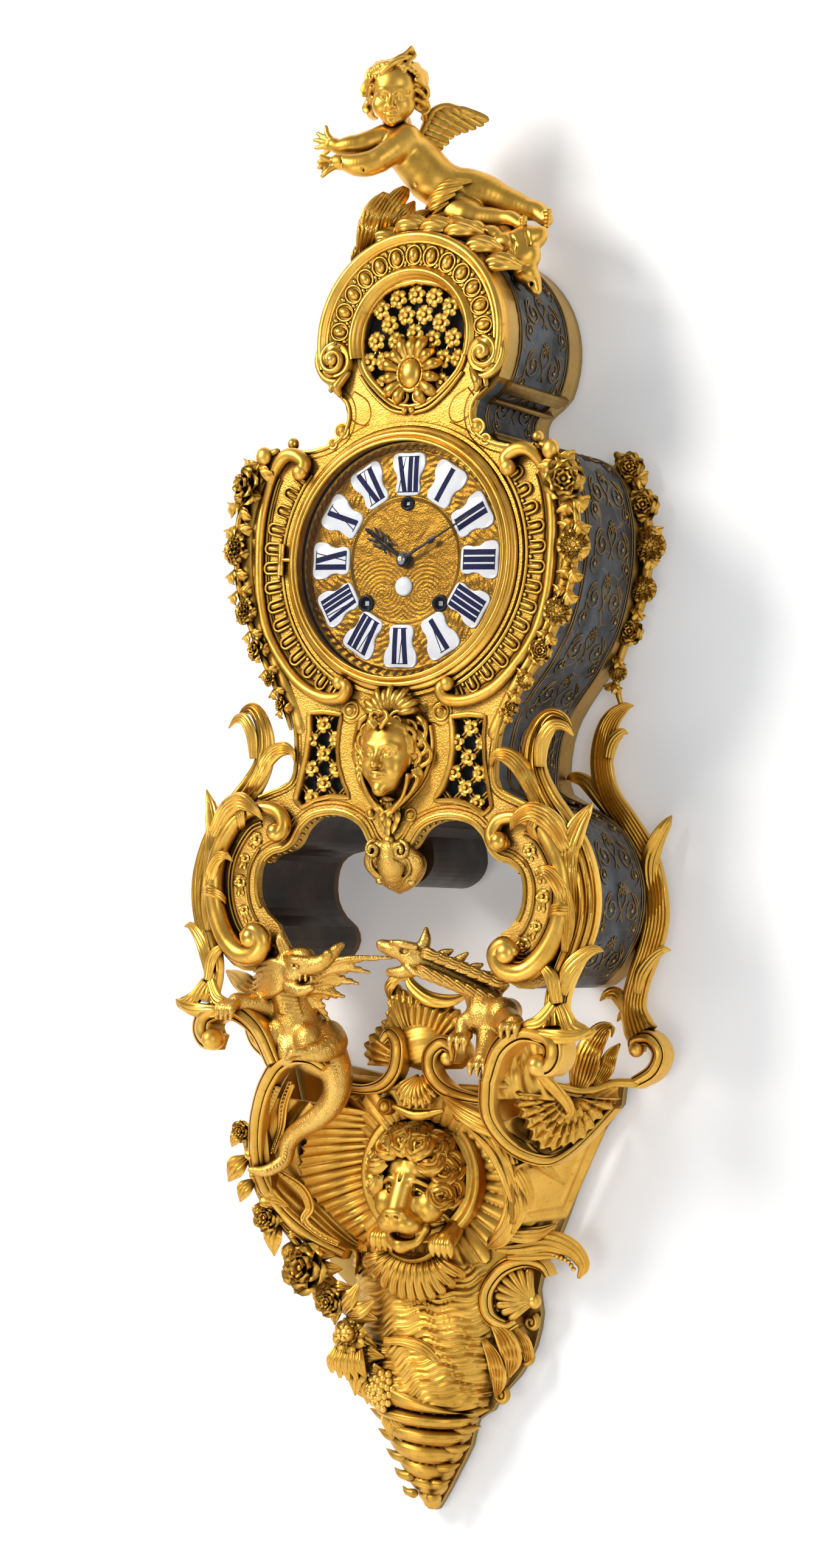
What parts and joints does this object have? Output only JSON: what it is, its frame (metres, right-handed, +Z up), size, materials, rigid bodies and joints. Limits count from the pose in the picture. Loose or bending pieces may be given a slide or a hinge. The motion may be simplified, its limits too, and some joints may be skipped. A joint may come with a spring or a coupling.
{
  "type": "cartel clock with wall bracket",
  "caption": "Arched gilt and marquetry cartel clock with hinged glazed bezel, hands, pendulum movement, cupid on top and a scrolled wall bracket below.",
  "frame": {"origin": "on the wall plane, straight behind the dial centre", "axes": "+Z up, +Y into the wall, +X to the viewer's right; the dial faces -Y"},
  "size_m": [0.442, 0.1615, 1.3034],
  "materials": {
    "ormolu": "fire-gilt bronze, burnished and matted",
    "dark_gilt": "matt gilt bronze with dark recesses",
    "movement_brass": "polished brass",
    "ebonised_wood": "ebonised",
    "oak": "plain oiled oak",
    "marquetry": "Boulle marquetry veneer, polished",
    "enamel": "white enamel, painted numerals",
    "glass": "clear",
    "blued_steel": "blued",
    "steel": "polished"
  },
  "bodies": {
    "case": {"carcass": "ebonised_wood", "veneer": "marquetry", "side_bands": "ormolu", "back_board": "oak", "front_plate": "ormolu", "hood_rim": "ormolu", "hood_fret": "dark_gilt", "hood_shell": "ormolu", "lower_frets": "dark_gilt", "cheek_mounts": "ormolu", "mask": "ormolu", "pendant_drop": "ormolu", "foot_scroll_left": "ormolu", "foot_scroll_right": "ormolu", "front_leg_left": "ormolu", "front_leg_right": "ormolu", "rear_leg_left": "ormolu", "rear_leg_right": "ormolu", "front_garland_left": "ormolu", "front_garland_right": "ormolu", "rear_garland_left": "ormolu", "rear_garland_right": "ormolu", "cloud_base": "ormolu", "cupid": "ormolu", "dial_plate": "ormolu", "enamel_plaques": "enamel", "bezel_hinge": "ormolu", "movement_front": "movement_brass", "movement_back": "movement_brass", "pillars": "movement_brass", "seat_board": "oak", "bracket_back": "dark_gilt", "bracket_apron": "ormolu", "bracket_scroll_left": "ormolu", "bracket_scroll_right": "ormolu", "dragon_left": "ormolu", "dragon_right": "ormolu", "bracket_shell": "ormolu", "lion_mask": "ormolu", "shell_spire": "ormolu", "bracket_garland": "ormolu"},
    "bezel_door": {"bezel": "ormolu", "bezel_glass": "glass"},
    "minute_work": {"minute_hand": "blued_steel", "hand_nut": "movement_brass", "cannon_pinion": "movement_brass"},
    "centre_arbor": {"center_wheel": "movement_brass"},
    "hour_work": {"hour_hand": "blued_steel", "hour_wheel": "movement_brass"},
    "motion_wheel": {"minute_wheel": "movement_brass"},
    "second_arbor": {"second_wheel": "movement_brass"},
    "going_drum": {"going_barrel": "movement_brass"},
    "third_arbor": {"third_wheel": "movement_brass"},
    "escape_arbor": {"escape_wheel": "movement_brass"},
    "anchor": {"pallets": "steel"},
    "pendulum_rod": {"pendulum": "movement_brass"},
    "strike_drum": {"strike_barrel": "movement_brass"},
    "going_key_arbor": {"going_arbor": "steel"},
    "strike_key_arbor": {"strike_arbor": "steel"},
    "regulator": {"regulator_arbor": "steel"}
  },
  "joints": [
    {"name": "bezel_hinge", "type": "hinge", "parent": "case", "child": "bezel_door", "pos_m": [-0.1225, -0.146, 0], "axis": [0, 0, -1], "range_deg": [0, 95]},
    {"name": "minute_turn", "type": "hinge", "parent": "case", "child": "minute_work", "pos_m": [0, -0.1, 0], "axis": [0, 1, 0], "continuous": true},
    {"name": "hour_turn", "type": "hinge", "parent": "case", "child": "hour_work", "pos_m": [0, -0.1, 0], "axis": [0, 1, 0], "continuous": true},
    {"name": "motion_turn", "type": "hinge", "parent": "case", "child": "motion_wheel", "pos_m": [-0.018, -0.1, 0], "axis": [0, 1, 0], "continuous": true},
    {"name": "centre_turn", "type": "hinge", "parent": "case", "child": "centre_arbor", "pos_m": [0, -0.08, 0], "axis": [0, 1, 0], "continuous": true},
    {"name": "second_turn", "type": "hinge", "parent": "case", "child": "second_arbor", "pos_m": [0.02513, -0.1, -0.00187], "axis": [0, 1, 0], "continuous": true},
    {"name": "going_drum_turn", "type": "hinge", "parent": "case", "child": "going_drum", "pos_m": [0.0377, -0.1, -0.038], "axis": [0, 1, 0], "continuous": true},
    {"name": "third_turn", "type": "hinge", "parent": "case", "child": "third_arbor", "pos_m": [-0.0148, -0.1, 0.0189], "axis": [0, 1, 0], "continuous": true},
    {"name": "escape_turn", "type": "hinge", "parent": "case", "child": "escape_arbor", "pos_m": [0, -0.1, 0.03], "axis": [0, 1, 0], "continuous": true},
    {"name": "pendulum_swing", "type": "hinge", "parent": "case", "child": "pendulum_rod", "pos_m": [0, -0.05, 0.055], "axis": [0, 1, 0], "range_deg": [-4, 4]},
    {"name": "anchor_rock", "type": "hinge", "parent": "case", "child": "anchor", "pos_m": [0, -0.1, 0.043], "axis": [0, 1, 0], "range_deg": [-5.45, 5.45]},
    {"name": "strike_drum_turn", "type": "hinge", "parent": "case", "child": "strike_drum", "pos_m": [-0.0377, -0.1, -0.038], "axis": [0, 1, 0], "continuous": true},
    {"name": "going_wind", "type": "hinge", "parent": "case", "child": "going_key_arbor", "pos_m": [0.0377, -0.1, -0.038], "axis": [0, 1, 0], "continuous": true},
    {"name": "strike_wind", "type": "hinge", "parent": "case", "child": "strike_key_arbor", "pos_m": [-0.0377, -0.1, -0.038], "axis": [0, 1, 0], "continuous": true},
    {"name": "regulator_turn", "type": "hinge", "parent": "case", "child": "regulator", "pos_m": [0, -0.1, 0.05], "axis": [0, 1, 0], "continuous": true}
  ],
  "couplings": [
    {"joint": "hour_turn", "follows": "minute_turn", "ratio": 0.083333},
    {"joint": "motion_turn", "follows": "minute_turn", "ratio": -0.33333},
    {"joint": "third_turn", "follows": "escape_turn", "ratio": -0.12121},
    {"joint": "centre_turn", "follows": "escape_turn", "ratio": 0.013468},
    {"joint": "second_turn", "follows": "escape_turn", "ratio": -0.0016835},
    {"joint": "going_drum_turn", "follows": "escape_turn", "ratio": 0.00021044},
    {"joint": "anchor_rock", "follows": "pendulum_swing", "ratio": 1.3636}
  ]
}
